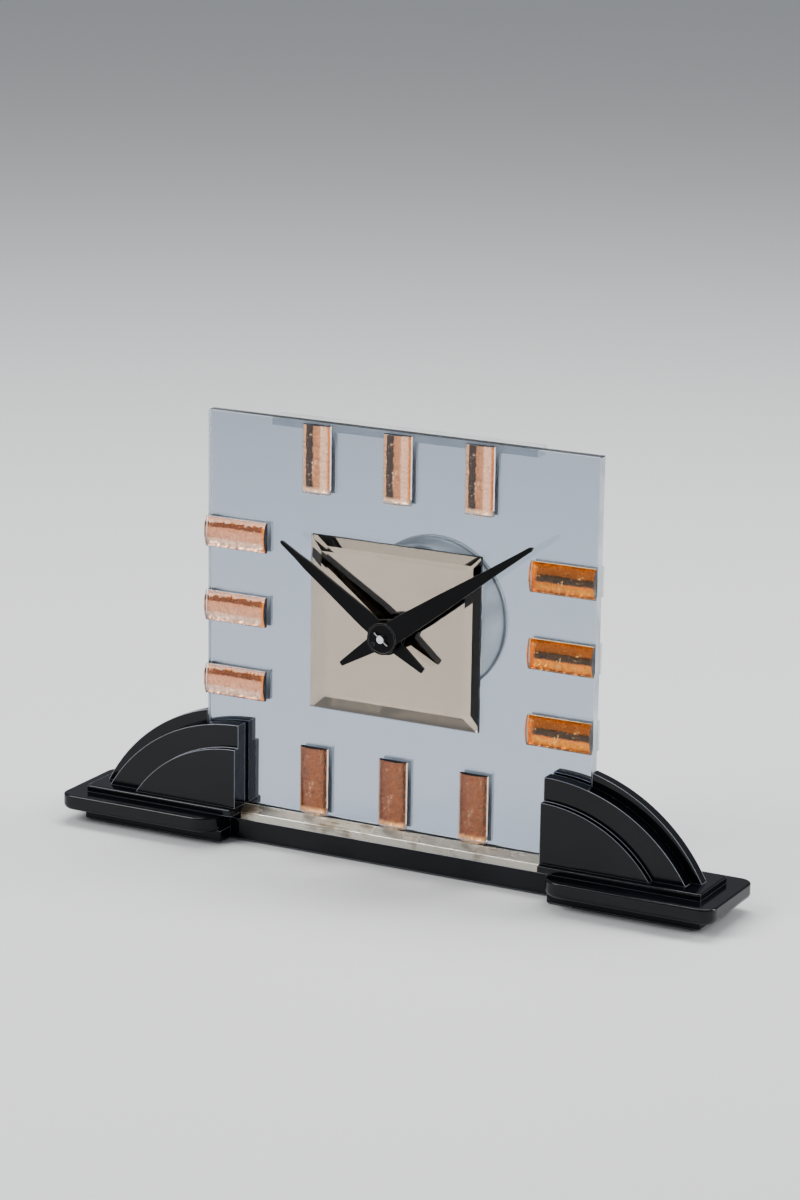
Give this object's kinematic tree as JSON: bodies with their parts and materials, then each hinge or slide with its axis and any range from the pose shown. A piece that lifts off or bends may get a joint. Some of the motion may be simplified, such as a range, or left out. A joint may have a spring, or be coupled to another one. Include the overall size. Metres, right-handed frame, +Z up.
{
  "type": "mantel clock",
  "caption": "Mantel clock with a clear glass dial plate, raised glass hour bars, a bevelled square mirror, black hands and a stepped black base; round movement case behind.",
  "frame": {"origin": "on the table under the middle of the base, in the middle plane of the dial plate's thickness", "axes": "+X to the right as seen from the front, +Y to the rear, +Z up"},
  "size_m": [0.39, 0.088, 0.236],
  "materials": {
    "black_lacquer": "black gloss lacquer on wood, slightly chipped",
    "sill_metal": "dull nickel plate, stained",
    "plate_glass": "clear polished plate with ground edges",
    "pale_glass": "pale ground glass",
    "bar_glass": "moulded glass over copper foil",
    "copper_foil": "crinkled copper-coloured foil",
    "mirror_glass": "clear bevelled glass",
    "silvering": "warm grey silvering",
    "case_aluminium": "spun, satin",
    "black_enamel": "black enamel on sheet metal",
    "bright_steel": "polished",
    "brass": "satin",
    "felt": "black felt",
    "rubber_seal": "matt black"
  },
  "bodies": {
    "root": {"back_movement_plate": "brass", "balance_cock": "brass", "bar_backings": "pale_glass", "bar_foils": "copper_foil", "base_beam": "black_lacquer", "base_screws": "bright_steel", "bottom_hour_bars": "bar_glass", "case_bead": "case_aluminium", "case_drum": "case_aluminium", "case_gasket": "rubber_seal", "centre_tube": "black_enamel", "click_screw": "bright_steel", "cover_screws": "bright_steel", "dial_nut": "black_enamel", "dial_plate": "plate_glass", "dial_washer": "black_enamel", "escapement_platform": "brass", "felt_pads": "felt", "front_movement_plate": "brass", "front_sill_strip": "sill_metal", "left_foot_slab": "black_lacquer", "left_front_cheek": "black_lacquer", "left_hour_bars": "bar_glass", "left_rear_cheek": "black_lacquer", "left_step_slab": "black_lacquer", "left_web": "black_lacquer", "mirror_plate": "mirror_glass", "mirror_silvering": "silvering", "movement_posts": "bright_steel", "pillars": "bright_steel", "rear_cover": "case_aluminium", "rear_sill_strip": "sill_metal", "rear_top_strip": "pale_glass", "right_foot_slab": "black_lacquer", "right_front_cheek": "black_lacquer", "right_hour_bars": "bar_glass", "right_rear_cheek": "black_lacquer", "right_step_slab": "black_lacquer", "right_web": "black_lacquer", "top_hour_bars": "bar_glass"},
    "minute_work": {"minute_arbor": "bright_steel", "minute_hand": "black_enamel", "taper_pin": "bright_steel", "cannon_pinion": "brass", "centre_wheel": "brass", "setting_knob": "brass"},
    "hour_work": {"hour_wheel": "brass", "hour_hand": "black_enamel"},
    "minute_wheel": {"minute_wheel": "brass"},
    "barrel": {"mainspring_barrel": "brass", "mainspring": "bright_steel"},
    "third_wheel": {"third_wheel": "brass"},
    "fourth_wheel": {"fourth_wheel": "brass"},
    "winding_work": {"winding_arbor": "bright_steel", "ratchet_wheel": "bright_steel", "winding_key": "brass"},
    "click": {"click": "bright_steel"},
    "balance": {"balance_wheel": "brass", "hairspring": "bright_steel"},
    "regulator": {"regulator_lever": "bright_steel"}
  },
  "joints": [
    {"name": "minute_turn", "type": "hinge", "parent": "root", "child": "minute_work", "pos_m": [0, 0, 0.1289], "axis": [0, 1, 0], "continuous": true},
    {"name": "hour_turn", "type": "hinge", "parent": "root", "child": "hour_work", "pos_m": [0, 0, 0.1289], "axis": [0, 1, 0], "continuous": true},
    {"name": "minute_wheel_turn", "type": "hinge", "parent": "root", "child": "minute_wheel", "pos_m": [0.01039, 0, 0.1229], "axis": [0, 1, 0], "continuous": true},
    {"name": "barrel_turn", "type": "hinge", "parent": "root", "child": "barrel", "pos_m": [0, 0, 0.11], "axis": [0, 1, 0], "continuous": true},
    {"name": "third_wheel_turn", "type": "hinge", "parent": "root", "child": "third_wheel", "pos_m": [-0.01403, 0, 0.137], "axis": [0, 1, 0], "continuous": true},
    {"name": "fourth_wheel_turn", "type": "hinge", "parent": "root", "child": "fourth_wheel", "pos_m": [-0.00723, 0, 0.14878], "axis": [0, 1, 0], "continuous": true},
    {"name": "winding_turn", "type": "hinge", "parent": "root", "child": "winding_work", "pos_m": [0, 0, 0.11], "axis": [0, 1, 0], "range_deg": [0, 2610]},
    {"name": "click_lift", "type": "hinge", "parent": "root", "child": "click", "pos_m": [0.01352, 0, 0.11362], "axis": [0, 1, 0], "range_deg": [0, 10], "stiffness_Nm_per_rad": 0.002, "springref_deg": -2.86},
    {"name": "balance_swing", "type": "hinge", "parent": "root", "child": "balance", "pos_m": [0.01802, 0, 0.14152], "axis": [0, 1, 0], "range_deg": [-270, 270], "stiffness_Nm_per_rad": 0.00001},
    {"name": "regulator_turn", "type": "hinge", "parent": "root", "child": "regulator", "pos_m": [0.01802, 0, 0.14152], "axis": [0, 1, 0], "range_deg": [-20, 20]}
  ],
  "couplings": [
    {"joint": "hour_turn", "follows": "minute_turn", "ratio": 0.083333},
    {"joint": "minute_wheel_turn", "follows": "minute_turn", "ratio": -0.33333},
    {"joint": "barrel_turn", "follows": "minute_turn", "ratio": -0.16667},
    {"joint": "third_wheel_turn", "follows": "minute_turn", "ratio": -8},
    {"joint": "fourth_wheel_turn", "follows": "minute_turn", "ratio": 60}
  ]
}
